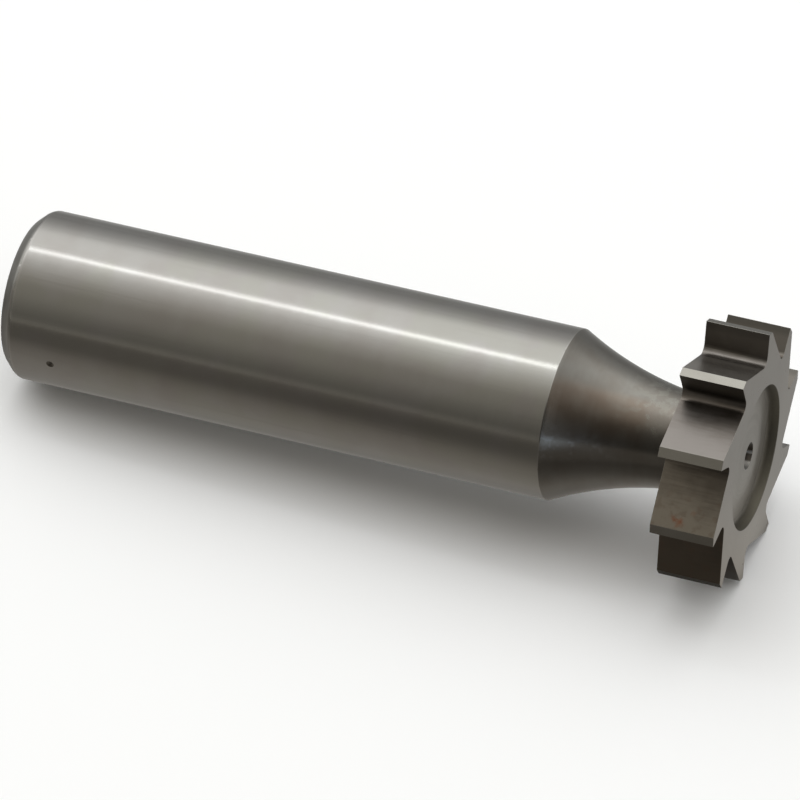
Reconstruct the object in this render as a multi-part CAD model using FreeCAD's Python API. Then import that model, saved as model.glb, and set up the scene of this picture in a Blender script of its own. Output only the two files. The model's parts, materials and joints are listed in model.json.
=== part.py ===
import FreeCAD, Part
import math
import os

# Driving dimensions of the keyseat cutter, in millimetres and degrees

# Shank: the plain ground stem that a collet or an end mill holder grips
shank_diameter = 12.7
shank_length = 42.05            # from the back end to the sharp edge where the neck begins
shank_chamfer_radial = 0.90
shank_chamfer_axial = 0.95

# Neck: one hollow-ground arc that falls from the shank to the back of the head
neck_length = 9.60
neck_head_diameter = 7.00       # where the arc runs into the head
neck_arc_radius = 25.0
neck_corner_radius = 0.40       # the grinding wheel's corner, left against the head

# Head: the toothed disc that mills the keyseat
head_diameter = 19.5            # over the cutting edges
head_width = 4.76               # the width of the slot that it cuts
tooth_count = 10

# Tooth form, seen along the axis
rake_angle = 3.0                # the cutting face leans back from the radius by this much
land_width = 0.75
land_relief = 8.0               # the land falls away behind the cutting edge
back_angle = 47.0               # between the tooth's back and the radius through its heel
gullet_radius = 0.60

# Recess turned into the front face, so that only its rim is ground flat
recess_diameter = 10.75
recess_depth = 0.85             # at the foot of its wall
recess_wall_taper = 12.0
recess_corner_radius = 0.40
recess_floor_rise = 0.35        # the floor rises from the wall to the middle

# Centre holes that carry the tool while it is ground
centre_cone_angle = 60.0
drill_point_angle = 118.0
front_centre_mouth = 2.10
front_centre_pilot = 0.90
front_centre_depth = 2.40
back_centre_mouth = 3.20
back_centre_pilot = 1.20
back_centre_depth = 3.40

# Places along the axis, from the shank's back end
shank_radius = shank_diameter / 2
head_radius = head_diameter / 2
head_back = shank_length + neck_length
head_front = head_back + head_width
recess_floor_middle = head_front - recess_depth + recess_floor_rise
axis_line = FreeCAD.Vector(1, 0, 0)
across_line = FreeCAD.Vector(0, 1, 0)
origin = FreeCAD.Vector(0, 0, 0)
pitch = 360.0 / tooth_count
straight_down = -90.0
match_tolerance = 1e-4


def turned(point, degrees):
    """A point or direction in a flat drawing, turned about the drawing's origin."""
    turn = math.radians(degrees)
    y = point.x * math.cos(turn) - point.y * math.sin(turn)
    z = point.x * math.sin(turn) + point.y * math.cos(turn)
    return FreeCAD.Vector(y, z, 0)


def crossing(first, first_way, second, second_way):
    """Where two lines in one plane meet, each given by a point and a direction."""
    gap = second - first
    share = gap.x * second_way.y - gap.y * second_way.x
    share /= (first_way.x * second_way.y - first_way.y * second_way.x)
    return first + first_way * share


def tangent_arc(before, corner, after, radius):
    """Start, middle and end of the arc that rounds a corner between two straight runs."""
    back = (before - corner).normalize()
    ahead = (after - corner).normalize()
    half_angle = back.getAngle(ahead) / 2
    reach = radius / math.tan(half_angle)
    bisector = (back + ahead).normalize()
    to_middle = radius / math.sin(half_angle) - radius
    return corner + back * reach, corner + bisector * to_middle, corner + ahead * reach


def arc_edge(start, middle, end):
    return Part.Arc(start, middle, end).toShape()


def polyline(points):
    return [Part.makeLine(first, second) for first, second in zip(points, points[1:])]


# The tooth is drawn across the axis, its cutting corner at angle zero and its cutting face
# looking towards positive angles, which is counter-clockwise seen from the front

def cutting_corner():
    return FreeCAD.Vector(head_radius, 0, 0)


def heel():
    """The back edge of the land: the relief lets it fall away from the cutting circle."""
    return cutting_corner() + turned(FreeCAD.Vector(0, -land_width, 0), -land_relief)


def face_direction():
    """Along the cutting face from its corner inwards, leaning back by the rake."""
    return turned(FreeCAD.Vector(-1, 0, 0), rake_angle)


def back_direction():
    """Down the tooth's back from the heel, towards the gullet behind it."""
    inwards = (heel() * -1).normalize()
    return turned(inwards, back_angle)


def on_head_back(point, angle):
    """A point of the tooth drawing, turned to its place and set on the head's back face."""
    place = turned(point, angle)
    return FreeCAD.Vector(head_back, place.x, place.y)


def tooth_edges(angle):
    """One pitch of the outline: land, back, gullet and the cutting face of the tooth behind."""
    corner_behind = turned(cutting_corner(), -pitch)
    face_behind = turned(face_direction(), -pitch)
    root = crossing(heel(), back_direction(), corner_behind, face_behind)
    gullet = tangent_arc(heel(), root, corner_behind, gullet_radius)
    start, middle, end = [on_head_back(point, angle) for point in gullet]
    land_and_back = polyline([on_head_back(cutting_corner(), angle), on_head_back(heel(), angle), start])
    face = polyline([end, on_head_back(corner_behind, angle)])
    return land_and_back + [arc_edge(start, middle, end)] + face


def toothed_head(first_angle):
    """The outline of all the teeth, extruded straight along the axis."""
    edges = []
    for tooth in range(tooth_count):
        edges += tooth_edges(first_angle - tooth * pitch)
    outline = Part.Face(Part.Wire(edges))
    return outline.extrude(axis_line * head_width)


def revolved(edges):
    """A closed half section, given in the plane of the axis and turned through a full circle."""
    return Part.Face(Part.Wire(edges)).revolve(origin, axis_line, 360)


def on_section(x, radius):
    return FreeCAD.Vector(x, 0, radius)


def stem():
    """Shank with its chamfered end, and the hollow neck, run on into the middle of the head."""
    neck_start = on_section(shank_length, shank_radius)
    neck_end = on_section(head_back, neck_head_diameter / 2)
    chord = neck_end - neck_start
    hollow = neck_arc_radius - math.sqrt(neck_arc_radius ** 2 - (chord.Length / 2) ** 2)
    towards_axis = FreeCAD.Vector(chord.z, 0, -chord.x).normalize()
    neck_middle = neck_start + chord * 0.5 + towards_axis * hollow
    inside_head = head_back + head_width / 2
    outer = polyline([
        on_section(0, 0),
        on_section(0, shank_radius - shank_chamfer_radial),
        on_section(shank_chamfer_axial, shank_radius),
        neck_start,
    ])
    inner = polyline([
        neck_end,
        on_section(inside_head, neck_head_diameter / 2),
        on_section(inside_head, 0),
        on_section(0, 0),
    ])
    return revolved(outer + [arc_edge(neck_start, neck_middle, neck_end)] + inner)


def front_recess():
    """The turned recess: tapered wall, rounded corner and a floor that rises to the middle."""
    rim_radius = recess_diameter / 2
    foot_radius = rim_radius - recess_depth * math.tan(math.radians(recess_wall_taper))
    rim = on_section(head_front, rim_radius)
    foot = on_section(head_front - recess_depth, foot_radius)
    middle = on_section(recess_floor_middle, 0)
    start, bend, end = tangent_arc(rim, foot, middle, recess_corner_radius)
    above_rim = rim + (rim - foot)
    above_middle = on_section(above_rim.x, 0)
    wall = polyline([above_middle, above_rim, start])
    floor = polyline([end, middle, above_middle])
    return revolved(wall + [arc_edge(start, bend, end)] + floor)


def centre_hole(mouth_x, outwards, mouth_diameter, pilot_diameter, depth):
    """A coned centre hole with its pilot, drilled inwards from its mouth."""
    slope = math.tan(math.radians(centre_cone_angle / 2))
    mouth_radius = mouth_diameter / 2
    pilot_radius = pilot_diameter / 2
    cone_length = (mouth_radius - pilot_radius) / slope
    point_length = pilot_radius / math.tan(math.radians(drill_point_angle / 2))
    lead = mouth_radius
    return revolved(polyline([
        on_section(mouth_x + outwards * lead, 0),
        on_section(mouth_x + outwards * lead, mouth_radius + lead * slope),
        on_section(mouth_x - outwards * cone_length, pilot_radius),
        on_section(mouth_x - outwards * depth, pilot_radius),
        on_section(mouth_x - outwards * (depth + point_length), 0),
        on_section(mouth_x + outwards * lead, 0),
    ]))


def neck_corner(solid):
    """The round edge where the neck meets the back face of the head."""
    def is_neck_corner(curve):
        if not isinstance(curve, Part.Circle):
            return False
        off_plane = abs(curve.Center.x - head_back)
        off_size = abs(curve.Radius - neck_head_diameter / 2)
        return off_plane < match_tolerance and off_size < match_tolerance
    return [edge for edge in solid.Edges if is_neck_corner(edge.Curve)]


def rest_support():
    """Where the head rests: the direction, as an angle, and the distance of the line that
    touches one tooth's cutting corner and the heel of the next tooth."""
    corner = cutting_corner()
    next_heel = turned(heel(), pitch)
    along = next_heel - corner
    outwards = FreeCAD.Vector(along.y, -along.x, 0).normalize()
    return math.degrees(math.atan2(outwards.y, outwards.x)), corner.dot(outwards)


def keyseat_cutter():
    """The whole cutter along the X axis, its lowest pair of teeth turned to face straight down."""
    support_angle, support_radius = rest_support()
    body = stem().fuse(toothed_head(straight_down - support_angle)).removeSplitter()
    body = body.makeFillet(neck_corner_radius, neck_corner(body))
    body = body.cut(front_recess())
    body = body.cut(centre_hole(
        recess_floor_middle, 1, front_centre_mouth, front_centre_pilot, front_centre_depth))
    body = body.cut(centre_hole(0, -1, back_centre_mouth, back_centre_pilot, back_centre_depth))
    return body.Solids[0], support_radius


def laid_down(body, support_radius):
    """The cutter as it lies on a bench: on two teeth at the back of the head and on the edge of
    the shank's chamfer, with the origin under the middle of its box."""
    rise = support_radius - shank_radius
    run = head_back - shank_chamfer_axial
    tilt = math.degrees(math.atan2(rise, run))
    body.rotate(origin, across_line, -tilt)
    box = body.optimalBoundingBox(False, False)
    body.translate(FreeCAD.Vector(-box.Center.x, -box.Center.y, -box.ZMin))
    return body, tilt


cutter, lowest_radius = keyseat_cutter()
cutter, rest_tilt = laid_down(cutter, lowest_radius)
os.makedirs("parts", exist_ok=True)
cutter.exportStep("parts/keyseat_cutter.step")
print("overall length", round(head_front, 3))
print("rest tilt", round(rest_tilt, 3), "head support radius", round(lowest_radius, 3))
print("valid", cutter.isValid(), "volume", round(cutter.Volume, 1), "faces", len(cutter.Faces))
print("box", cutter.optimalBoundingBox(False, False))
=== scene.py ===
# %% [markdown]
# # A woodruff keyseat cutter in ground steel
#
# The cutter mills the half-moon pocket in a shaft that takes a woodruff key. It is one piece of
# steel: a ground shank, a hollow neck and a thin head with ten straight teeth.
#
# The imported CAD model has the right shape, but as a coarse net of triangles, and polished steel
# shows every facet. So this lesson models the same solid again, fine enough to mirror a studio, and
# then gives every surface the finish that its tool left on it.

# %% Load the frame
import bpy
import bmesh
import json
import math
from bmesh.types import BMEdge, BMFace, BMVert
from mathutils import Matrix, Vector


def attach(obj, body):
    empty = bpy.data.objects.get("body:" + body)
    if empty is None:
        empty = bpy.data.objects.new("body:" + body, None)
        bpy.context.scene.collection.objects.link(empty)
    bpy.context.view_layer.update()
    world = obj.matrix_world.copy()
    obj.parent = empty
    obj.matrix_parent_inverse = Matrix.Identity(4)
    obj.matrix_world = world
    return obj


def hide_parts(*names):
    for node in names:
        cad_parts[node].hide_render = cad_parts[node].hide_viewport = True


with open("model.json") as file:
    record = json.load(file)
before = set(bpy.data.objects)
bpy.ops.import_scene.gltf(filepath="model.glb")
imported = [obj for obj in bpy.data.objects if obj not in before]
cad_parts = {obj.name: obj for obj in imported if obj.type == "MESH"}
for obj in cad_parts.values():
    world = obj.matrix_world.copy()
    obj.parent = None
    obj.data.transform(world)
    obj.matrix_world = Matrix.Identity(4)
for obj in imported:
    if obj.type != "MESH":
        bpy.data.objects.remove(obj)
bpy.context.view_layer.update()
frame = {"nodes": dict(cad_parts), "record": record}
print("CAD nodes", sorted(frame["nodes"]))

# %% [markdown]
# ## The sizes
#
# These are the driving sizes, in millimetres and degrees. Small features are safest in
# millimetres, because Blender's mesh tools treat very short edges as having no length. The
# finished mesh is made metres at the very end.

# %% Sizes of the cutter
MM = 0.001
shank_radius = 12.7 / 2
shank_length = 42.05
chamfer_radial = 0.90
chamfer_axial = 0.95
neck_length = 9.60
neck_head_radius = 3.50
neck_arc_radius = 25.0
neck_corner_radius = 0.40
head_radius = 19.5 / 2
head_width = 4.76
tooth_count = 10
rake_angle = 3.0
land_width = 0.75
land_relief = 8.0
back_angle = 47.0
gullet_radius = 0.60
recess_radius = 10.75 / 2
recess_depth = 0.85
recess_wall_taper = 12.0
recess_corner_radius = 0.40
recess_floor_rise = 0.35

head_back = shank_length + neck_length
head_front = head_back + head_width
floor_middle = head_front - recess_depth + recess_floor_rise
pitch = 360.0 / tooth_count
print("overall length", round(head_front, 2), "mm")

# %% [markdown]
# ## How it lies
#
# The tool lies on two teeth and on the edge of the shank's chamfer, so its axis is tilted a little.
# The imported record's shank mount names a point on the axis and the axis itself, which points out of
# the back end. All drawing below has its X along the axis from the back end, and one matrix takes
# it to its place in the scene.

# %% Find the axis in the frame
mount = next(m for m in frame["record"]["mounts"] if m["name"] == "shank")
towards_back = Vector(mount["axis"])
middle_of_grip = (chamfer_axial + shank_length) / 2 * MM
back_end = Vector(mount["pos_m"]) + towards_back * middle_of_grip
rest_tilt = math.asin(-towards_back.z)
lay_down = Matrix.Translation(back_end) @ Matrix.Rotation(-rest_tilt, 4, "Y")
print("the axis rises by", round(math.degrees(rest_tilt), 3), "degrees")

# %% [markdown]
# ## A pen made of two operators
#
# Every outline of this tool is strokes and arcs. In the editor they are drawn by extruding a
# vertex and by spinning it round a centre. This small pen does the same with bmesh, so an outline
# needs only the points and radii that stand in a drawing of the tool.

# %% Straight strokes and arcs
AXIS = Vector((1, 0, 0))
ACROSS_PROFILE = Vector((0, 0, 1))


def turned(point, degrees):
    """A point or direction turned about the cutter's axis."""
    return Matrix.Rotation(math.radians(degrees), 3, "X") @ point


def only(kind, parts):
    return [part for part in parts if isinstance(part, kind)]


def swing_between(first, second, axis):
    """The signed angle from one direction to another about an axis."""
    return math.atan2(axis.dot(first.cross(second)), first.dot(second))


class Pen:
    """Draws one chain of edges in a bmesh."""

    def __init__(self, mesh, start, axis):
        self.mesh = mesh
        self.axis = axis
        self.tip = bmesh.ops.create_vert(mesh, co=start)["vert"][0]
        self.edges = []

    def line(self, end):
        made = bmesh.ops.extrude_vert_indiv(self.mesh, verts=[self.tip])
        self.edges += made["edges"]
        self.tip = made["verts"][0]
        self.tip.co = end

    def arc(self, centre, end, steps):
        known = set(self.mesh.edges)
        angle = swing_between(self.tip.co - centre, end - centre, self.axis)
        made = bmesh.ops.spin(self.mesh, geom=[self.tip], cent=centre, axis=self.axis,
                              angle=angle, steps=steps)
        self.edges += [edge for edge in self.mesh.edges if edge not in known]
        self.tip = only(BMVert, made["geom_last"])[0]

    def rounded_corner(self, corner, after, radius, steps):
        """A stroke towards a corner that is rounded before the pen turns to the next point."""
        back = (self.tip.co - corner).normalized()
        ahead = (after - corner).normalized()
        half_angle = back.angle(ahead) / 2
        reach = radius / math.tan(half_angle)
        centre = corner + (back + ahead).normalized() * radius / math.sin(half_angle)
        self.line(corner + back * reach)
        self.arc(centre, corner + ahead * reach, steps)


def crossing(first, first_way, second, second_way):
    """Where two lines of one flat drawing meet."""
    normal = first_way.cross(second_way)
    share = (second - first).cross(second_way).dot(normal) / normal.length_squared
    return first + first_way * share


print("the teeth are drawn about", tuple(AXIS), "and the profiles about", tuple(ACROSS_PROFILE))

# %% [markdown]
# ## The turned profiles
#
# Everything but the teeth is turned: half a section is drawn beside the axis and spun once round.
# The rear profile runs from the tip of the back centre hole over the shank and the neck to the head,
# the front one from the rim of the front face into the recess and its centre hole.
#
# The neck is one hollow arc, and the corner of the grinding wheel leaves a small round between it
# and the head. That round touches the arc and the head's back face, which gives its centre.

# %% Where the neck's arc and its foot lie
cutter = bmesh.new()


def beside_axis(x, radius):
    return Vector((x, radius, 0))


neck_start = beside_axis(shank_length, shank_radius)
neck_end = beside_axis(head_back, neck_head_radius)
neck_chord = neck_end - neck_start
away_from_axis = Vector((-neck_chord.y, neck_chord.x, 0)).normalized()
to_arc_centre = math.sqrt(neck_arc_radius ** 2 - (neck_chord.length / 2) ** 2)
neck_centre = neck_start + neck_chord / 2 + away_from_axis * to_arc_centre

fillet_x = head_back - neck_corner_radius
centre_gap = neck_arc_radius - neck_corner_radius
fillet_rise = math.sqrt(centre_gap ** 2 - (neck_centre.x - fillet_x) ** 2)
fillet_centre = beside_axis(fillet_x, neck_centre.y - fillet_rise)
neck_foot = neck_centre + (fillet_centre - neck_centre) * neck_arc_radius / centre_gap
back_face_start = beside_axis(head_back, fillet_centre.y)
print("the neck meets the head", round(back_face_start.y, 3), "mm from the axis")

# %% The rear profile
neck_arc_steps = 32
fillet_steps = 6
centre_slope = math.tan(math.radians(60.0 / 2))
drill_slope = math.tan(math.radians(118.0 / 2))
back_centre_mouth = 1.60
back_centre_pilot = 0.60
back_centre_depth = 3.40
back_centre_tip = back_centre_depth + back_centre_pilot / drill_slope

rear = Pen(cutter, beside_axis(back_centre_tip, 0), ACROSS_PROFILE)
rear.line(beside_axis(back_centre_depth, back_centre_pilot))
rear.line(beside_axis((back_centre_mouth - back_centre_pilot) / centre_slope, back_centre_pilot))
rear.line(beside_axis(0, back_centre_mouth))
rear.line(beside_axis(0, shank_radius - chamfer_radial))
rear.line(beside_axis(chamfer_axial, shank_radius))
rear.line(neck_start)
rear.arc(neck_centre, neck_foot, neck_arc_steps)
rear.arc(fillet_centre, back_face_start, fillet_steps)
print("rear profile has", len(rear.edges), "edges")

# %% [markdown]
# The recess keeps the middle of the front face clear of the work, so that only the rim is ground.
# Its wall tapers, its corner is round and its floor rises to the centre hole. The hole's mouth is
# where the line of its cone crosses the floor.

# %% The front profile
front_centre_mouth = 1.05
front_centre_pilot = 0.45
front_centre_depth = 2.40

foot_radius = recess_radius - recess_depth * math.tan(math.radians(recess_wall_taper))
rim = beside_axis(head_front, recess_radius)
foot = beside_axis(head_front - recess_depth, foot_radius)
middle = beside_axis(floor_middle, 0)
mouth_point = beside_axis(floor_middle, front_centre_mouth)
cone_way = Vector((1, centre_slope, 0))
cone_edge = crossing(middle, foot - middle, mouth_point, cone_way)
cone_length = (front_centre_mouth - front_centre_pilot) / centre_slope
pilot_end = floor_middle - front_centre_depth

front = Pen(cutter, rim, ACROSS_PROFILE)
front.rounded_corner(foot, middle, recess_corner_radius, fillet_steps)
front.line(cone_edge)
front.line(beside_axis(floor_middle - cone_length, front_centre_pilot))
front.line(beside_axis(pilot_end, front_centre_pilot))
front.line(beside_axis(pilot_end - front_centre_pilot / drill_slope, 0))
print("front profile has", len(front.edges), "edges")

# %% [markdown]
# ## One tooth of ten
#
# A tooth is drawn looking along the axis. The cutting face leans back by the rake. Behind its
# corner a narrow land falls away by the relief, and then a flat back drops to a round gullet at
# the foot of the next cutting face. One pitch of that outline is drawn here, from the heel behind
# one land to the heel behind the next, so that both its ends lie on straight radial lines.

# %% The outline of one pitch
gullet_steps = 12

corner = Vector((head_back, head_radius, 0))
heel = corner + turned(Vector((0, 0, -land_width)), -land_relief)
heel_angle = math.degrees(math.atan2(heel.z, heel.y))
inwards = Vector((0, -heel.y, -heel.z)).normalized()
back_way = turned(inwards, back_angle)
face_way = turned(Vector((0, -1, 0)), rake_angle - pitch)
corner_behind = turned(corner, -pitch)
gullet_root = crossing(heel, back_way, corner_behind, face_way)


def on_drawing(point):
    """The tooth is turned so that its heel lies at angle zero, in line with the profiles."""
    return turned(point, -heel_angle)


outline = Pen(cutter, on_drawing(heel), AXIS)
outline.rounded_corner(on_drawing(gullet_root), on_drawing(corner_behind),
                       gullet_radius, gullet_steps)
outline.line(on_drawing(corner_behind))
outline.line(on_drawing(turned(heel, -pitch)))
print("one pitch of the outline has", len(outline.edges), "edges")

# %% [markdown]
# The teeth are straight, so one extrusion across the head makes the land, the back, the gullet and
# the cutting face at once.

# %% Extrude it across the head
swept = bmesh.ops.extrude_edge_only(cutter, edges=outline.edges)["geom"]
front_edges = only(BMEdge, swept)
bmesh.ops.translate(cutter, verts=only(BMVert, swept), vec=AXIS * head_width)
tooth_faces = only(BMFace, swept)
print("sides of the tooth", len(tooth_faces))

# %% [markdown]
# The wedge between the outline and the turned part is filled as one flat face, so ten of them close
# the head with no boolean. Its inner border is an arc with the same steps as the spin of the
# profiles, so the two meet vertex for vertex when they are welded.

# %% Fill the wedges of the two faces
round_steps = 240
steps_per_pitch = round_steps // tooth_count
weld = 0.0005
heel_radius = on_drawing(heel).y


def wedge(outline_edges, x, inner_radius):
    """The flat face between one pitch of the outline and the turned part inside it."""
    pen = Pen(cutter, beside_axis(x, heel_radius), AXIS)
    pen.line(beside_axis(x, inner_radius))
    inner_end = turned(beside_axis(x, inner_radius), -pitch)
    pen.arc(beside_axis(x, 0), inner_end, steps_per_pitch)
    pen.line(turned(beside_axis(x, heel_radius), -pitch))
    border = outline_edges + pen.edges
    corners = list({vert for edge in border for vert in edge.verts})
    bmesh.ops.remove_doubles(cutter, verts=corners, dist=weld)
    border = [edge for edge in border if edge.is_valid]
    return bmesh.ops.contextual_create(cutter, geom=border)["faces"]


back_border = [edge for edge in outline.edges if edge.is_valid]
tooth_faces += wedge(back_border, head_back, back_face_start.y)
tooth_faces += wedge(front_edges, head_front, recess_radius)
print("faces of one pitch", len(tooth_faces))

# %% [markdown]
# The spin makes both halves of the tool: it copies the pitch nine times round, and it turns each
# profile through a full circle. Welding the doubles leaves one closed solid, which the count of
# open edges and the volume confirm.

# %% Repeat the pitch and spin the profiles
def with_borders(faces):
    edges = list({edge for face in faces for edge in face.edges})
    return faces + edges + list({vert for face in faces for vert in face.verts})


bmesh.ops.spin(cutter, geom=with_borders(tooth_faces), cent=(0, 0, 0), axis=AXIS,
               use_duplicate=True, angle=math.radians(360 - pitch), steps=tooth_count - 1)
for profile in (rear, front):
    chain = profile.edges + list({vert for edge in profile.edges for vert in edge.verts})
    bmesh.ops.spin(cutter, geom=chain, cent=(0, 0, 0), axis=AXIS,
                   angle=math.radians(360), steps=round_steps, use_merge=True)
bmesh.ops.remove_doubles(cutter, verts=cutter.verts, dist=weld)
bmesh.ops.recalc_face_normals(cutter, faces=cutter.faces)
open_edges = sum(not edge.is_manifold for edge in cutter.edges)
print("faces", len(cutter.faces), "open edges", open_edges)
print("volume", round(cutter.calc_volume(), 1), "cubic mm")

# %% [markdown]
# ## Which surface is which
#
# Each surface was made in another way, so each gets a finish of its own. A face is told by how far
# along the axis it lies, how far from it, and which way it looks. The faces are sorted now, while
# the edges are sharp. The edge breaks that follow take over the finish beside them.

# %% Sort the faces by their finish
finish_names = ["ground_shank", "turned_end", "turned_neck", "ground_face", "cutting_face",
                "milled_back", "ground_land", "turned_recess", "drilled_centre"]
square_on = 0.9
land_floor = head_radius - 0.10
plane_slack = 0.01


def finish_of(face):
    centre = face.calc_center_median()
    radius = math.hypot(centre.y, centre.z)
    looks_along = abs(face.normal.x) > square_on
    if centre.x < head_back / 2:
        if radius < back_centre_mouth - plane_slack:
            return "drilled_centre"
        return "ground_shank" if centre.x > chamfer_axial else "turned_end"
    if radius < front_centre_mouth and centre.x < floor_middle:
        return "drilled_centre"
    if centre.x < head_back - plane_slack:
        return "turned_neck"
    if looks_along and radius > back_face_start.y - plane_slack:
        on_a_plane = min(abs(centre.x - head_back), abs(centre.x - head_front)) < plane_slack
        return "ground_face" if on_a_plane else "turned_recess"
    if radius < recess_radius:
        return "turned_recess"
    if radius > land_floor:
        return "ground_land"
    looks_round = face.normal.z * centre.y - face.normal.y * centre.z
    return "cutting_face" if looks_round > square_on * radius else "milled_back"


for face in cutter.faces:
    face.material_index = finish_names.index(finish_of(face))
for slot, name in enumerate(finish_names):
    print(name, sum(face.material_index == slot for face in cutter.faces), "faces")

# %% [markdown]
# ## Broken edges
#
# No edge on a real tool is perfectly sharp: the burr of grinding is stoned off, and the collet rubs
# the end. A bevel of a few hundredths of a millimetre catches a thin line of light, which is much
# of what makes steel look like steel. The new faces are marked in an attribute, so that the
# finishes can show them a little brighter.

# %% Bevel every crease by its own amount
worn_edge = cutter.faces.layers.float.new("worn_edge")
crease = math.radians(20)
edge_segments = 3


def break_edges(place, width, is_wanted):
    """Rounds the creases whose middle satisfies the test on its place along and off the axis."""
    chosen = []
    for edge in cutter.edges:
        middle_of_edge = (edge.verts[0].co + edge.verts[1].co) / 2
        radius = math.hypot(middle_of_edge.y, middle_of_edge.z)
        if edge.calc_face_angle(0) > crease and is_wanted(middle_of_edge.x, radius):
            chosen.append(edge)
    made = bmesh.ops.bevel(cutter, geom=chosen, offset=width, offset_type="OFFSET",
                           segments=edge_segments, profile=0.5, affect="EDGES", material=-1,
                           clamp_overlap=True)
    for face in made["faces"]:
        face[worn_edge] = 1.0
    print(place + ":", len(chosen), "edges broken by", width, "mm")


near = 0.2
tooth_zone = 5.6
break_edges("teeth", 0.03, lambda x, radius: x > head_back - near and radius > tooth_zone)
break_edges("recess and front hole", 0.04,
            lambda x, radius: x > head_back - near and 0.6 < radius < tooth_zone)
break_edges("front of the shank", 0.05,
            lambda x, radius: abs(x - shank_length) < near and radius > 6)
break_edges("chamfer", 0.24, lambda x, radius: x < chamfer_axial + near and radius > 4)
break_edges("back hole", 0.05, lambda x, radius: x < near and radius < 2)

# %% [markdown]
# ## The hardness mark
#
# Near the back end the shank has a tiny dimple, painted dark as shade, where a cone was pressed in
# to test the hardness. A patch of the shank is cut out, a ring of vertices is laid on the round
# surface and bridged to the patch, and the ring is drawn inwards to the point of the cone.
#
# First the whole cutter is turned about its axis, so that it rests on two teeth. The mark's place
# is counted in steps of the spin, so the patch is cut along facets that are there already.

# %% Turn the teeth to their place
first_tooth = -106.59           # the first cutting corner, when two teeth point straight down
phase = first_tooth + heel_angle
roll_over = Matrix.Rotation(math.radians(phase), 3, "X")
bmesh.ops.rotate(cutter, verts=cutter.verts, cent=(0, 0, 0), matrix=roll_over)
print("the cutter is turned by", round(phase, 2), "degrees")

# %% Cut out a patch of the shank
facet_angle = 360 / round_steps
mark_along = 4.25
mark_angle = phase - 42 * facet_angle
patch_half_length = 0.48
patch_half_angle = 2.7 * facet_angle
long_facet = 1.0                # the shank's own facets are longer than its edge breaks


def off_mark(point):
    """How far round the shank a point lies from the mark, in degrees."""
    angle = math.degrees(math.atan2(point.z, point.y)) - mark_angle
    return abs((angle + 180) % 360 - 180)


strip = [face for face in cutter.faces if face.material_index == 0
         and off_mark(face.calc_center_median()) < patch_half_angle
         and face.calc_area() > long_facet]
for end in (-patch_half_length, patch_half_length):
    cut = bmesh.ops.bisect_plane(cutter, geom=with_borders(strip),
                                 plane_co=(mark_along + end, 0, 0), plane_no=AXIS)
    strip = only(BMFace, cut["geom"])
patch = [face for face in strip if abs(face.calc_center_median().x - mark_along) < patch_half_length]
border = [edge for face in patch for edge in face.edges]
border = [edge for edge in set(border) if sum(face in patch for face in edge.link_faces) == 1]
bmesh.ops.delete(cutter, geom=patch, context="FACES")
print("cut out", len(patch), "facets and left a border of", len(border), "edges")

# %% Press the mark
mark_radius = 0.30
mark_depth = 0.14
mark_lip = 0.004
mark_steps = 24
collar = 1.2                    # the first ring, outside the lip, as a share of the mark's radius
mark_rings = [(1 / collar, mark_lip), (0.90, 0), (0.50, -mark_depth * 0.5), (0.20, -mark_depth)]


def on_shank(point, rise):
    """The point moved along its radius to the shank's surface, and a little above or below it."""
    flat = Vector((0, point.y, point.z)).normalized() * (shank_radius + rise)
    return Vector((point.x, flat.y, flat.z))


stand_up = Matrix.Translation((mark_along, 0, 0))
stand_up = stand_up @ Matrix.Rotation(math.radians(mark_angle), 4, "X")
stand_up = stand_up @ Matrix.Translation((0, shank_radius, 0)) @ Matrix.Rotation(-math.pi / 2, 4, "X")
ring = bmesh.ops.create_circle(cutter, segments=mark_steps, radius=mark_radius * collar,
                               matrix=stand_up)["verts"]
for vert in ring:
    vert.co = on_shank(vert.co, 0)
ring_edges = list({edge for vert in ring for edge in vert.link_edges})
bridged = bmesh.ops.bridge_loops(cutter, edges=border + ring_edges)["faces"]
mark_axis = on_shank(stand_up.to_translation(), 0)
pressed = []
for share, rise in mark_rings:
    made = bmesh.ops.extrude_edge_only(cutter, edges=ring_edges)["geom"]
    ring_edges = only(BMEdge, made)
    pressed += only(BMFace, made)
    for vert in only(BMVert, made):
        vert.co = on_shank(mark_axis + (vert.co - mark_axis) * share, rise)
pressed += bmesh.ops.contextual_create(cutter, geom=ring_edges)["faces"]
# the inside of the mark takes the dark drilled_centre finish, painted as shade
for face in pressed[mark_steps:]:
    face.material_index = finish_names.index("drilled_centre")
bmesh.ops.recalc_face_normals(cutter, faces=cutter.faces)
open_edges = sum(not edge.is_manifold for edge in cutter.edges)
print("hardness mark:", len(bridged) + len(pressed), "new faces, open edges", open_edges)

# %% [markdown]
# ## One finished mesh
#
# The mesh itself is made metres and laid down, so the object stays at the origin, unturned. Small
# facets are shaded smooth and true creases stay sharp. Weighted normals let the big flat faces keep
# their own normals, so that only the broken edges look round.

# %% Make the object
soft_angle = math.radians(35)
for face in cutter.faces:
    face.smooth = True
for edge in cutter.edges:
    edge.smooth = edge.calc_face_angle(0) < soft_angle
mesh = bpy.data.meshes.new("steel_cutter")
cutter.to_mesh(mesh)
cutter.free()
mesh.transform(lay_down @ Matrix.Scale(MM, 4))
steel_cutter = bpy.data.objects.new("steel_cutter", mesh)
bpy.context.scene.collection.objects.link(steel_cutter)
flat_faces = steel_cutter.modifiers.new("flat faces stay flat", "WEIGHTED_NORMAL")
flat_faces.mode = "FACE_AREA"
flat_faces.keep_sharp = True
mesh.calc_loop_triangles()
print("steel_cutter has", len(mesh.loop_triangles), "triangles")

# %% [markdown]
# ## Shader sums in plain Python
#
# A finish is a tree of nodes, but most of it is arithmetic on numbers that vary over the surface.
# The Field class wraps a socket so that it can be added and multiplied like a number: each sum
# places a Math node. All other nodes come from one method of the Finish class.

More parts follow.
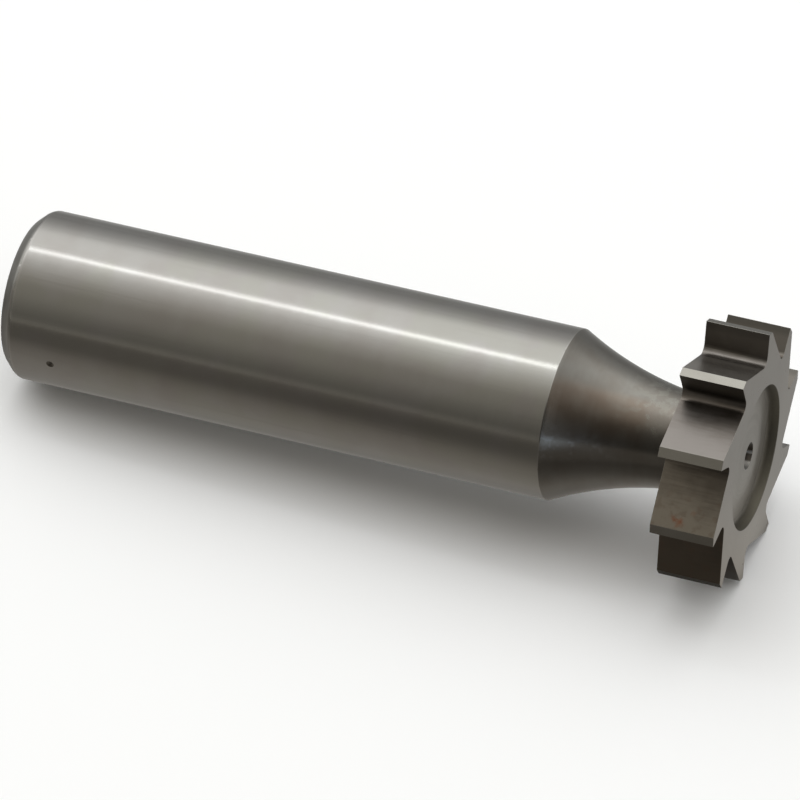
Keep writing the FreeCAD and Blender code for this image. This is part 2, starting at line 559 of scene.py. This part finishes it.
# %% Fields and finishes
class Field:
    """A socket that takes part in ordinary sums."""

    def __init__(self, finish, socket):
        self.finish = finish
        self.socket = socket

    def output(self, name):
        return Field(self.finish, self.socket.node.outputs[name])

    def __add__(self, other):
        return self.finish.maths("ADD", self, other)

    def __sub__(self, other):
        return self.finish.maths("SUBTRACT", self, other)

    def __rsub__(self, other):
        return self.finish.maths("SUBTRACT", other, self)

    def __mul__(self, other):
        return self.finish.maths("MULTIPLY", self, other)

    def __truediv__(self, other):
        return self.finish.maths("DIVIDE", self, other)

    __radd__ = __add__
    __rmul__ = __mul__


class Finish:
    """One material, or the world, under construction."""

    def __init__(self, owner):
        owner.use_nodes = True
        self.owner = owner
        self.tree = owner.node_tree
        self.tree.nodes.clear()

    def node(self, kind, settings=None, inputs=None, output=0):
        made = self.tree.nodes.new(kind)
        for name, value in (settings or {}).items():
            setattr(made, name, value)
        for name, value in (inputs or {}).items():
            if isinstance(value, Field):
                self.tree.links.new(value.socket, made.inputs[name])
            else:
                made.inputs[name].default_value = value
        return Field(self, made.outputs[output]) if made.outputs else made

    def maths(self, operation, first, second=0.0):
        return self.node("ShaderNodeMath", {"operation": operation}, {0: first, 1: second})

    def step(self, field, low, high):
        """Rises smoothly from 0 at low to 1 at high."""
        return self.node("ShaderNodeMapRange", {"interpolation_type": "SMOOTHSTEP"},
                         {"Value": field, "From Min": low, "From Max": high})

    def fall(self, field, low, high):
        """Falls smoothly from 1 at low to 0 at high."""
        return 1 - self.step(field, low, high)

    def band(self, field, rise, fall):
        """Is 1 between a rising and a falling edge, each given by where it starts and ends."""
        return self.step(field, *rise) * self.fall(field, *fall)

    def mix(self, share, first, second):
        """A colour between two colours."""
        return self.node("ShaderNodeMix", {"data_type": "RGBA"},
                         {0: share, 6: first, 7: second}, output=2)

    def vector_maths(self, operation, first, second=(0, 0, 0), output="Vector"):
        return self.node("ShaderNodeVectorMath", {"operation": operation},
                         {0: first, 1: second}, output=output)

    def vector(self, x, y, z):
        return self.node("ShaderNodeCombineXYZ", None, {0: x, 1: y, 2: z})

    def noise(self, vector, detail, scale=1.0):
        return self.node("ShaderNodeTexNoise", None,
                         {"Vector": vector, "Scale": scale, "Detail": detail})


print("Field and Finish are ready")

# %% [markdown]
# ## Where the tool marks run
#
# Marks follow the cutter's axis, not the scene's. A Mapping node undoes the laying down, which
# gives the millimetres of the drawing. Then each kind of mark is noise that is squeezed one way
# and stretched the other: rings round a shank, circles on a faced end, strokes along a milled
# tooth. Clouds are the same all ways, for oil and wear. Noise stays near one half, so a step about
# that value makes patches with soft edges.

# %% Marks in the cutter's own millimetres
class Steel(Finish):
    """A steel finish with the cutter's own coordinates at hand."""

    def __init__(self, name):
        super().__init__(bpy.data.materials.new(name))
        place = self.node("ShaderNodeTexCoord", output="Object")
        self.spot = self.node("ShaderNodeMapping", {"vector_type": "TEXTURE"},
                              {"Vector": place, "Location": back_end, "Rotation": (0, -rest_tilt, 0),
                               "Scale": (MM, MM, MM)})
        self.x = self.node("ShaderNodeSeparateXYZ", None, {"Vector": self.spot})
        self.y = self.x.output("Y")
        self.z = self.x.output("Z")
        self.radius = self.maths("SQRT", self.y * self.y + self.z * self.z)
        self.edge = self.node("ShaderNodeAttribute", {"attribute_name": "worn_edge"}, output="Fac")

    def rings(self, per_mm, wander=0.3, detail=2.0):
        return self.noise(self.vector(self.x * per_mm, self.y * wander, self.z * wander), detail)

    def circles(self, per_mm, wander=0.3, detail=2.0):
        squeezed = self.vector(self.radius * per_mm, self.y * wander, self.z * wander)
        return self.noise(squeezed, detail)

    def strokes(self, per_mm, wander=0.3, detail=2.0):
        return self.noise(self.vector(self.x * wander, self.y * per_mm, self.z * per_mm), detail)

    def clouds(self, per_mm):
        return self.noise(self.spot, 3.0, scale=per_mm)

    def patches(self, field, softness):
        return self.step(field, 0.5 - softness, 0.5 + softness)

    def facing(self, degrees):
        """How near a spot lies to one side of the axis. 90 degrees is the top, 180 the front."""
        way = math.radians(degrees)
        return (self.y * math.cos(way) + self.z * math.sin(way)) / self.radius

    def shade(self, colour, roughness, height, depth):
        """Joins it all in a metal shader. The depth of the marks is in millimetres."""
        bump = self.node("ShaderNodeBump", None,
                         {"Strength": 1.0, "Distance": depth * MM, "Height": height})
        metal = self.node("ShaderNodeBsdfPrincipled", None,
                          {"Base Color": colour, "Metallic": 1.0, "Roughness": roughness, "Normal": bump})
        self.node("ShaderNodeOutputMaterial", None, {"Surface": metal})
        return self.owner


print("marks follow an axis tilted by", round(math.degrees(rest_tilt), 2), "degrees")

# %% [markdown]
# ## The finishes
#
# The shank is cylindrically ground: nearly a mirror, with very fine rings. Its light comes and goes
# a little where the wheel was dressed, where oil dried and where hands and collets touched it.
# Every finish is built in the same order: marks and patches, the tints that they mix, a lighter
# tint on the broken edges, then roughness and relief.

# %% Ground shank
def add_finish(material):
    steel_cutter.data.materials.append(material)
    print(material.name, "has", len(material.node_tree.nodes), "nodes")


def ground_shank():
    steel = Steel("ground_shank")
    dull, bright = (0.312, 0.3, 0.285, 1), (0.332, 0.325, 0.311, 1)
    oiled, rubbed, bare = (0.318, 0.317, 0.286, 1), (0.27, 0.26, 0.245, 1), (0.4, 0.39, 0.38, 1)
    fine = steel.rings(24, wander=0.6)
    coarse = steel.rings(5, wander=0.15)
    broad = steel.rings(0.35, wander=0.1)
    patches = steel.clouds(0.45)
    handled = steel.strokes(2.2, wander=0.05, detail=3.0)
    waves = steel.clouds(1.1)
    colour = steel.mix(steel.patches(patches * 0.5 + broad * 0.5, 0.15), dull, bright)
    colour = steel.mix(steel.step(steel.clouds(0.25), 0.46, 0.58) * 0.5, colour, oiled)
    colour = steel.mix(steel.step(handled, 0.60, 0.72) * 0.3, colour, rubbed)
    colour = steel.mix(steel.edge * 0.35, colour, bare)
    roughness = 0.135 + patches * 0.02 + steel.step(handled, 0.55, 0.75) * 0.03 + coarse * 0.03
    return steel.shade(colour, roughness, fine * 0.6 + coarse * 1.4 + waves * 4.5, 0.0008)


add_finish(ground_shank())

# %% [markdown]
# The back end and its chamfer are turned: circles round the axis, coarser than the shank's rings.

# %% Turned end and chamfer
def turned_end():
    steel = Steel("turned_end")
    dull, bright, bare = (0.2, 0.193, 0.178, 1), (0.256, 0.251, 0.237, 1), (0.36, 0.355, 0.34, 1)
    marks = steel.circles(9, wander=0.2)
    turning = steel.circles(3.4, wander=0.12, detail=3.0)
    colour = steel.mix(steel.patches(steel.clouds(0.9) * 0.5 + turning * 0.5, 0.14), dull, bright)
    colour = steel.mix(steel.edge * 0.4, colour, bare)
    return steel.shade(colour, 0.22 + marks * 0.08 + turning * 0.10, marks + turning, 0.003)


add_finish(turned_end())

# %% [markdown]
# The neck is darker. A brown tint is painted in a band between its top and its front, where the neck
# turns from light to shade, and it fades towards the head. Near the head the top has pale specks,
# painted highlights, and near the shank the front has lighter spots, painted glints.

# %% Turned neck
def turned_neck():
    steel = Steel("turned_neck")
    dull, bright = (0.188, 0.174, 0.155, 1), (0.214, 0.206, 0.189, 1)
    brown_dull, brown_bright = (0.196, 0.16, 0.131, 1), (0.22, 0.192, 0.164, 1)
    # the pale speck tint is a painted highlight; the rubbed tint paints the glint spots
    highlight_tint, rubbed, bare = (0.28, 0.28, 0.25, 1), (0.32, 0.32, 0.32, 1), (0.32, 0.31, 0.29, 1)
    fine = steel.rings(14, wander=0.4)
    coarse = steel.rings(3.2, wander=0.2)
    patches = steel.clouds(0.5)
    tone = steel.patches(patches * 0.8 + coarse * 0.2, 0.18)
    top = steel.facing(90)
    lean = steel.facing(180) + (patches - 0.5) * 0.12
    along = steel.x - shank_length
    # a warm tint painted where the neck turns from light to shade, fading towards the head
    painted_warm_band = steel.step(lean + along * 0.03, 0.33, 0.52) * steel.fall(lean - along * 0.014, 0.68, 0.86)
    painted_warm_band = painted_warm_band * (1 - steel.step(along, 5.5, 8.0) * 0.7)
    spots = steel.step(steel.clouds(1.5), 0.50, 0.62)
    # painted highlight specks on the top near the head
    highlight_specks = spots * steel.step(steel.x, 45.5, 49.0) * steel.step(top, 0.55, 0.80)
    # lighter spots painted only where the window's glint falls, a blotchy painted glint
    glint_spots = spots * steel.step(lean, 0.80, 0.92) * steel.step(top, 0.10, 0.26)
    glint_spots = glint_spots * steel.fall(along, 3.5, 6.0)
    colour = steel.mix(painted_warm_band, steel.mix(tone, dull, bright), steel.mix(tone, brown_dull, brown_bright))
    colour = steel.mix(highlight_specks * 0.35, colour, highlight_tint)
    colour = steel.mix(glint_spots * 0.4, colour, rubbed)
    colour = steel.mix(steel.edge * 0.3, colour, bare)
    roughness = 0.17 + patches * 0.08 + coarse * 0.03 + highlight_specks * 0.05
    return steel.shade(colour, roughness, fine * 0.8 + coarse * 1.2, 0.0012)


add_finish(turned_neck())

# %% [markdown]
# The flat faces of the head are ground on a turning table, which leaves fine circles. The far
# lower side is painted lighter than the rest.

# %% Ground faces of the head
def ground_face():
    steel = Steel("ground_face")
    dull, bright = (0.268, 0.244, 0.216, 1), (0.304, 0.281, 0.253, 1)
    lighter_tint, bare = (0.365, 0.34, 0.306, 1), (0.36, 0.35, 0.33, 1)
    fine = steel.circles(16, wander=0.5)
    marks = steel.circles(5, wander=0.25, detail=4.0)
    patches = steel.clouds(0.6)
    colour = steel.mix(steel.patches(patches * 0.65 + marks * 0.35, 0.12), dull, bright)
    # the far lower side of each face is painted lighter
    painted_lighter = steel.step(steel.y * 0.6 - steel.z * 0.8, 0, 5)
    colour = steel.mix(painted_lighter * 0.6, colour, lighter_tint)
    colour = steel.mix(steel.edge * 0.4, colour, bare)
    return steel.shade(colour, 0.20 + patches * 0.10 + marks * 0.10, fine * 0.5 + marks, 0.0012)


add_finish(ground_face())

# %% [markdown]
# Scale and oil stay down in the gullets, and painted shade darkens them further, so the teeth are
# lighter towards the edge. Their tone follows the distance from the axis, and it wanders with the
# strokes of the mill. The cutting faces are the darkest, with a thin painted shadow along their tips.

# %% Cutting faces
gullet_dark = 6.9
heel_light = 9.2
head_middle = (head_back + head_front) / 2


def cutting_face():
    steel = Steel("cutting_face")
    dark, light = (0.104, 0.093, 0.079, 1), (0.16, 0.147, 0.13, 1)
    tip_shade, bare = (0.075, 0.075, 0.065, 1), (0.34, 0.33, 0.31, 1)
    strokes = steel.strokes(7, wander=0.3, detail=3.0)
    patches = steel.clouds(0.9)
    # painted shade: darker deep in the gullet and towards the shank side of the head
    height = steel.radius + (steel.x - head_middle) * 0.30
    height = height + (patches - 0.5) * 1.4 + (strokes - 0.5) * 0.6
    colour = steel.mix(steel.step(height, gullet_dark, heel_light), dark, light)
    # a thin painted shadow along the tips
    colour = steel.mix(steel.step(steel.radius, 8.9, 9.5) * 0.45, colour, tip_shade)
    colour = steel.mix(steel.edge * 0.35, colour, bare)
    return steel.shade(colour, 0.28 + patches * 0.10 + strokes * 0.04, strokes, 0.0015)


add_finish(cutting_face())

# %% [markdown]
# The flat backs are as the mill and the hardening left them. The teeth differ, partly in painted
# light and shade: the top one is painted lightest, the one in front has a smear of rust near its
# heel, and the one below it is painted dark as shade. Each has two tints of its own, shared out by
# the angle at which it stands. The rust is a few small balls with ragged edges, red-brown and rough.

# %% Milled backs of the teeth
plain_tooth = ((0.112, 0.097, 0.083, 1), (0.21, 0.194, 0.181, 1))
# the top tooth's tints are painted light, the low tooth's tints painted shade
lit_top_tooth = (90, (0.15, 0.138, 0.127, 1), (0.32, 0.3, 0.276, 1))
rusty_tooth = (164, (0.112, 0.097, 0.08, 1), (0.277, 0.248, 0.206, 1))
shaded_low_tooth = (200, (0.12, 0.104, 0.086, 1), (0.164, 0.138, 0.111, 1))
one_tooth = (0.925, 0.965)      # cosines of 22 and 15 degrees, about half a pitch
rust_specks = [((53.70, -9.25, 0.92), 0.52, 0.80), ((53.25, -9.06, 1.10), 0.36, 0.50),
               ((54.60, -8.60, 1.50), 0.30, 0.30)]


def rust_on(steel):
    """How rusty a spot is, from balls that are given by their middle, radius and strength."""
    ragged = steel.clouds(3.5) * 0.6 - 0.3
    rust = 0
    for middle_of_ball, radius, strength in rust_specks:
        offset = steel.vector_maths("DISTANCE", steel.spot, middle_of_ball, output="Value")
        rust = steel.fall(offset + ragged, 0, radius) * strength + rust
    return rust


def milled_back():
    steel = Steel("milled_back")
    brown, bare = (0.17, 0.124, 0.094, 1), (0.3, 0.29, 0.27, 1)
    red_brown = (0.25, 0.108, 0.055, 1)
    strokes = steel.strokes(5, wander=0.5, detail=3.0)
    patches = steel.clouds(0.7)
    dark, light = plain_tooth
    for angle, dark_tint, light_tint in (lit_top_tooth, rusty_tooth, shaded_low_tooth):
        share = steel.step(steel.facing(angle) + (patches - 0.5) * 0.03, *one_tooth)
        dark = steel.mix(share, dark, dark_tint)
        light = steel.mix(share, light, light_tint)
    # painted shade along the axis, darker where the tooth ahead shades the back
    along = (steel.x - head_middle) * 0.20 * steel.fall(steel.facing(90), *one_tooth)
    # painted shade: darker deep in the gullets
    height = steel.radius - along + (patches - 0.5) * 1.4 + (strokes - 0.5)
    colour = steel.mix(steel.step(height, gullet_dark, heel_light), dark, light)
    low_in_front = steel.step(steel.z * -1 - steel.y, 4.0, 6.5)
    stained = steel.step(steel.clouds(1.3), 0.50, 0.64) * low_in_front
    colour = steel.mix(stained * 0.35, colour, brown)
    colour = steel.mix(steel.edge * 0.3, colour, bare)
    rust = rust_on(steel)
    colour = steel.mix(rust, colour, red_brown)
    roughness = 0.24 + patches * 0.12 + strokes * 0.06 + rust * 0.35
    return steel.shade(colour, roughness, strokes + rust * 0.5, 0.0017)


add_finish(milled_back())

# %% [markdown]
# The lands are ground last, so they are bright and smooth, with very fine strokes.

# %% Ground lands
def ground_land():
    steel = Steel("ground_land")
    dull, bright, bare = (0.27, 0.258, 0.23, 1), (0.33, 0.32, 0.294, 1), (0.4, 0.39, 0.37, 1)
    strokes = steel.strokes(18, wander=0.8)
    patches = steel.clouds(0.9)
    colour = steel.mix(steel.edge * 0.4, steel.mix(patches, dull, bright), bare)
    return steel.shade(colour, 0.16 + patches * 0.08, strokes, 0.0010)


add_finish(ground_land())

# %% [markdown]
# The recess is turned and never ground. Its floor has clear rings and gets duller outwards, and
# its corner and wall are painted dark, as painted shade.

# %% Turned recess
def turned_recess():
    steel = Steel("turned_recess")
    dull, bright = (0.308, 0.287, 0.257, 1), (0.356, 0.335, 0.304, 1)
    foot_shade, wall_shade = (0.084, 0.076, 0.06, 1), (0.128, 0.118, 0.092, 1)
    bare = (0.3, 0.29, 0.27, 1)
    fine = steel.circles(11, wander=0.3)
    turning = steel.circles(3.6, wander=0.1, detail=3.0)
    patches = steel.clouds(0.6)
    ragged = steel.radius + (patches - 0.5) * 0.15
    colour = steel.mix(steel.patches(patches * 0.55 + turning * 0.45, 0.12), dull, bright)
    # painted shade in the corner and on the wall of the recess
    corner_shade = steel.mix(steel.step(ragged, 5.18, 5.36), foot_shade, wall_shade)
    colour = steel.mix(steel.step(ragged, 4.90, 5.20) * 0.95, colour, corner_shade)
    colour = steel.mix(steel.edge * 0.4, colour, bare)
    duller = steel.step(steel.radius, 3.4, 4.8)
    roughness = 0.26 + patches * 0.10 + fine * 0.06 + duller * 0.22
    return steel.shade(colour, roughness, fine * 0.5 + turning * 1.8, 0.0018)


add_finish(turned_recess())

# %% [markdown]
# The centre holes are nearly black. In the front one the cone has painted highlights, a crescent
# below the middle and a sliver above it. The hardness mark shares this finish but is less black,
# painted as shade in its dimple, and it is told by its distance from the axis.

# %% Drilled centre holes
def drilled_centre():
    steel = Steel("drilled_centre")
    black, brown = (0.02, 0.017, 0.014, 1), (0.048, 0.042, 0.035, 1)
    painted_lighter, mark_shade = (0.22, 0.21, 0.195, 1), (0.115, 0.105, 0.092, 1)
    dark_mottle = steel.clouds(2.2)
    height = steel.y * 0.70 + steel.z * 0.72
    # painted highlights on the front cone, a crescent below the middle and a sliver above it
    highlight_crescent = steel.band(height, (-1.10, -0.98), (-0.48, -0.26))
    highlight_sliver = steel.band(height, (0.14, 0.26), (0.38, 0.50))
    in_front_cone = steel.step(steel.radius, 0.40, 0.55) * steel.step(steel.x, head_back, head_front)
    colour = steel.mix(dark_mottle, black, brown)
    colour = steel.mix((highlight_crescent + highlight_sliver * 0.8) * in_front_cone, colour, painted_lighter)
    colour = steel.mix(steel.step(steel.radius, 5, 6), colour, mark_shade)
    return steel.shade(colour, 0.20 + dark_mottle * 0.12, steel.rings(10, wander=0.3), 0.002)


add_finish(drilled_centre())

# %% [markdown]
# ## The piece takes its place
#
# The finished piece replaces the CAD solid in the picture and belongs to the only body.

# %% Ride on the frame
print("finishes in order:", [material.name for material in steel_cutter.data.materials] == finish_names)
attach(steel_cutter, "root")
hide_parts("keyseat_cutter")

# %% [markdown]
# ## The floor
#
# A plain pale floor, a little wider than the light tent, takes the soft shadow.

# %% Floor
def stage_object(name, shape, material):
    mesh = bpy.data.meshes.new(name)
    shape.to_mesh(mesh)
    shape.free()
    mesh.materials.append(material)
    made = bpy.data.objects.new(name, mesh)
    bpy.context.scene.collection.objects.link(made)
    return made


def floor_paint():
    paint = Finish(bpy.data.materials.new("pale_floor"))
    matt = paint.node("ShaderNodeBsdfDiffuse", None, {"Color": (0.925, 0.93, 0.94, 1)})
    paint.node("ShaderNodeOutputMaterial", None, {"Surface": matt})
    return paint.owner


tent_radius = 1.5
floor_radius = tent_radius * 1.02
disc = bmesh.new()
bmesh.ops.create_circle(disc, cap_ends=True, segments=96, radius=floor_radius)
stage_object("floor", disc, floor_paint())
print("floor is", round(2 * floor_radius, 2), "m wide")

# %% [markdown]
# ## The light tent
#
# Polished steel has hardly any colour of its own: it shows what stands around it. So it is
# photographed in a tent of white cloth, here a half sphere that glows by direction. The angle runs
# across the tool, from the horizon behind it over the top to the horizon in front. Just above the
# front one the glow dips and comes back, which draws a thin light line low on the shank.
#
# The right side, beyond the head, is dimmer, most of all low down in front. A small cool window
# stands there on the horizon, with a faint halo, and leaves a glint on the neck. At the far right
# end the cloth is plain, dim below and bright above.

# %% The tent's glow
brightest = 1.7
tent_glow = [(-90, 0.32), (-68, 0.65), (-55, 1.05), (-45, 1.48), (-33, 1.56), (-22, 1.56),
             (-4, 1.50), (5, 1.11), (22, 0.69), (38, 0.455), (54, 0.395), (68, 0.29),
             (75, 0.25), (80, 0.22), (83, 0.235), (86, 0.30), (90, 0.29)]


def across_tent(degrees):
    """The angle across the tool, from 0 at the horizon behind to 1 at the horizon in front."""
    return (degrees + 90) / 180


low_zone = (across_tent(20), across_tent(54))
high_drop = 0.42
low_drop = 0.72
end_drop = 0.20
window_reach = ((0.41, 0.58), (0.60, 0.70))
window_colour = (0.5, 0.6, 0.7, 1)
halo_colour = (1, 1.05, 1.15, 1)
end_low, end_high = (0.26, 0.26, 0.255, 1), (0.9, 0.9, 0.88, 1)
print("tent glows from", min(glow for angle, glow in tent_glow), "to", brightest)


# %% Tent
def tent_cloth():
    cloth = Finish(bpy.data.materials.new("tent_cloth"))
    place = cloth.node("ShaderNodeTexCoord", output="Object")
    way = cloth.vector_maths("NORMALIZE", place)
    x = cloth.node("ShaderNodeSeparateXYZ", None, {"Vector": way})
    front = x.output("Y") * -1
    up = x.output("Z")
    across = cloth.maths("ARCTAN2", front, up) / math.pi + 0.5
    glow = cloth.node("ShaderNodeValToRGB", None, {"Fac": across}, output="Color")
    stops = glow.socket.node.color_ramp.elements
    while len(stops) < len(tent_glow):
        stops.new(0.5)
    for stop, (angle, value) in zip(stops, tent_glow):
        stop.position = across_tent(angle)
        stop.color = [value / brightest] * 3 + [1]
    warm = cloth.mix(cloth.step(across, 0.45, 0.75), (1, 1, 0.98, 1), (1, 0.95, 0.85, 1))
    low = cloth.step(across, *low_zone)
    side = 1 - cloth.step(x, 0.12, 0.48) * high_drop * (1 - low)
    side = side - cloth.step(x, -0.32, -0.07) * low_drop * low
    side = side * (1 - cloth.step(x, 0.45, 0.58) * end_drop)
    lit = cloth.vector_maths("MULTIPLY", cloth.vector_maths("MULTIPLY", glow, warm), side)
    window = cloth.band(x, *window_reach) * cloth.step(front, 0, 0.1)
    lit = cloth.mix(window * cloth.fall(up, 0.05, 0.55) * 0.10, lit, halo_colour)
    lit = cloth.mix(window * cloth.fall(up, 0.04, 0.08), lit, window_colour)
    end_light = cloth.mix(cloth.step(up, 0, 0.7), end_low, end_high)
    lit = cloth.mix(cloth.step(x, 0.63, 0.74), lit, end_light)
    light = cloth.node("ShaderNodeEmission", None, {"Color": lit, "Strength": brightest})
    cloth.node("ShaderNodeOutputMaterial", None, {"Surface": light})
    return cloth.owner


dome = bmesh.new()
bmesh.ops.create_uvsphere(dome, u_segments=64, v_segments=32, radius=tent_radius)
every_part = list(dome.verts) + list(dome.edges) + list(dome.faces)
bmesh.ops.bisect_plane(dome, geom=every_part, plane_co=(0, 0, 0), plane_no=(0, 0, 1),
                       clear_inner=True)
print("tent has", len(dome.faces), "faces")
tent = stage_object("light_tent", dome, tent_cloth())
tent.visible_camera = False
tent.visible_shadow = False

# %% [markdown]
# ## Two lamps
#
# A thin tube hangs behind the tool and to its left. It draws the bright line along the shank and
# ends where the neck begins, so the neck shows only the soft cloth. A wide lamp overhead lights the
# floor. The steel doesn't mirror it, because the tent's cloth already stands for it.

# %% Lamps
def soft_lamp(name, radiance, size, place, tint):
    lamp = bpy.data.lights.new(name, "AREA")
    lamp.shape = "RECTANGLE"
    lamp.size = size[0]
    lamp.size_y = size[1]
    lamp.energy = radiance * math.pi * size[0] * size[1]
    lamp.color = tint
    hung = bpy.data.objects.new(name + "_lamp", lamp)
    bpy.context.scene.collection.objects.link(hung)
    hung.matrix_world = place
    hung.visible_camera = False
    print(name, round(lamp.energy, 1), "W")
    return hung


tube_height = 1.35
tube_tilt = math.radians(12.0)
tube_right_end = -0.11
tube_length, tube_width = 1.25, 0.13
tube_middle = (tube_right_end - tube_length / 2, 0, tube_height)
tube_place = Matrix.Rotation(-tube_tilt, 4, "X") @ Matrix.Translation(tube_middle)
soft_lamp("tube", 2.4, (tube_length, tube_width), tube_place, (0.93, 0.96, 0.98))
overhead = soft_lamp("overhead", 0.57, (1.6, 1.6), Matrix.Translation((0, 0, 1.3)), (1, 1, 1))
overhead.visible_glossy = False

# %% [markdown]
# ## The board under the tool
#
# The lower half of the steel mirrors what it lies on. In the photograph that was a grey board, and
# the picture was then cut out. So a glowing board that only the steel sees lies just above the
# floor, a painted reflection that lights nothing. It is dark in front of the tool, light right
# behind it, dimmer further back, and brighter far out to both sides. It has painted shadows of the
# tool, and painted light beyond the head, whose face throws light down. The window's cool light is
# painted where it spills over it to the front right.

# %% The board's shades
board_warm, board_cool = (1, 0.925, 0.82, 1), (1, 1, 0.97, 1)
spill_colour = (0.6, 0.69, 0.8, 1)
# painted shadows of the tool on the glowing board, and painted light beyond the head
head_shade = (0.024, -0.014, 0)     # the middle of a round shadow in front of the head
endless = (-9, -8)
board_shades = {                # the change, then the soft left, right, near and far edge
    "in front of the shank": (-0.17, (-0.030, -0.002), (0.006, 0.014), endless, (-0.035, -0.020)),
    "under the shank": (-0.38, endless, (0.014, 0.024), (-0.0072, -0.0022), (0.002, 0.010)),
    "under the head": (-0.75, (0.0215, 0.0235), (0.0280, 0.0295), (-0.012, -0.008), (0.006, 0.012)),
    "beyond the head": (0.28, (0.0275, 0.0295), (0.034, 0.044), (-0.012, -0.004), (0.002, 0.012)),
}
print("the board is shaded", list(board_shades))


# %% Board that only the steel sees
def board_paint():
    board = Finish(bpy.data.materials.new("painted_reflection_board"))
    place = board.node("ShaderNodeTexCoord", output="Object")
    x = board.node("ShaderNodeSeparateXYZ", None, {"Vector": place})
    y = x.output("Y")
    # the glow of the board, a painted reflection: dark in front of the tool, light behind it
    grey = 0.17 + board.step(y, -0.0255, -0.002) * 0.26 + board.step(y, 0.003, 0.012) * 0.04
    grey = grey - board.step(y, 0.022, 0.045) * 0.13 + board.fall(y, -0.13, -0.045) * 0.02
    grey = grey + board.step(board.maths("ABSOLUTE", x), 0.08, 0.30) * 0.35
    for change, left, right, near_edge, far_edge in board_shades.values():
        grey = grey * (1 + board.band(x, left, right) * board.band(y, near_edge, far_edge) * change)
    away = board.vector_maths("DISTANCE", place, head_shade, output="Value")
    grey = grey * (1 - board.fall(away, 0.004, 0.013) * 0.53)
    tint = board.mix(board.step(y, -0.018, 0.012), board_warm, board_cool)
    tint = board.vector_maths("MULTIPLY", tint, grey)
    # painted window light spilling over the board to the front right
    slant = (x - 0.02) / (y * -1)
    spill = board.step(slant, 0.44, 0.66) * board.fall(y, -0.09, -0.05)
    tint = board.mix(spill, tint, spill_colour)
    glow = board.node("ShaderNodeEmission", None, {"Color": tint, "Strength": 1.0})
    board.node("ShaderNodeOutputMaterial", None, {"Surface": glow})
    return board.owner


board_height = 0.0001
sheet = bmesh.new()
bmesh.ops.create_circle(sheet, cap_ends=True, segments=96, radius=tent_radius)
bmesh.ops.translate(sheet, verts=sheet.verts, vec=(0, 0, board_height))
board = stage_object("painted_reflection_board", sheet, board_paint())
board.visible_camera = False
board.visible_diffuse = False
board.visible_shadow = False
print("board lies", board_height * 1000, "mm above the floor")

# %% [markdown]
# ## The world
#
# Outside the tent the world is plain white for the camera and for mirrored and seen-through rays.
# Other rays get only part of that, because the lamps light the floor already.

# %% World
world = bpy.data.worlds.new("white_room")
bpy.context.scene.world = world
room = Finish(world)
ray = room.node("ShaderNodeLightPath", output="Is Camera Ray")
seen = room.maths("MAXIMUM", room.maths("MAXIMUM", ray, ray.output("Is Glossy Ray")),
                  ray.output("Is Transmission Ray"))
fill = 0.4
backdrop = room.node("ShaderNodeBackground", None,
                     {"Color": (1, 1, 1, 1), "Strength": seen * (1 - fill) + fill})
room.node("ShaderNodeOutputWorld", None, {"Surface": backdrop})
print("world fill", fill)

# %% [markdown]
# ## The camera
#
# The camera fits the photograph: a long lens, well above the tool and a little to its head end,
# turned slightly about its own line of sight.

# %% Camera
azimuth = math.radians(18.591)
elevation = math.radians(42.629)
roll = math.radians(2.592)
aim = Vector((0.000001, 0.002850, 0.002934))
distance = 0.52082
focal_pixels = 7092
picture_width = 800

lens = bpy.data.cameras.new("camera")
lens.sensor_width = 36
lens.lens = focal_pixels / picture_width * lens.sensor_width
lens.clip_start = 0.01
lens.clip_end = 20
camera = bpy.data.objects.new("camera", lens)
bpy.context.scene.collection.objects.link(camera)
look = Matrix.Rotation(azimuth, 4, "Z") @ Matrix.Rotation(math.pi / 2 - elevation, 4, "X")
look = look @ Matrix.Rotation(roll, 4, "Z")
camera.matrix_world = Matrix.Translation(aim) @ look @ Matrix.Translation((0, 0, distance))
bpy.context.scene.camera = camera
bpy.context.scene.view_settings.view_transform = "Standard"
print("camera at", [round(value, 4) for value in camera.matrix_world.translation])
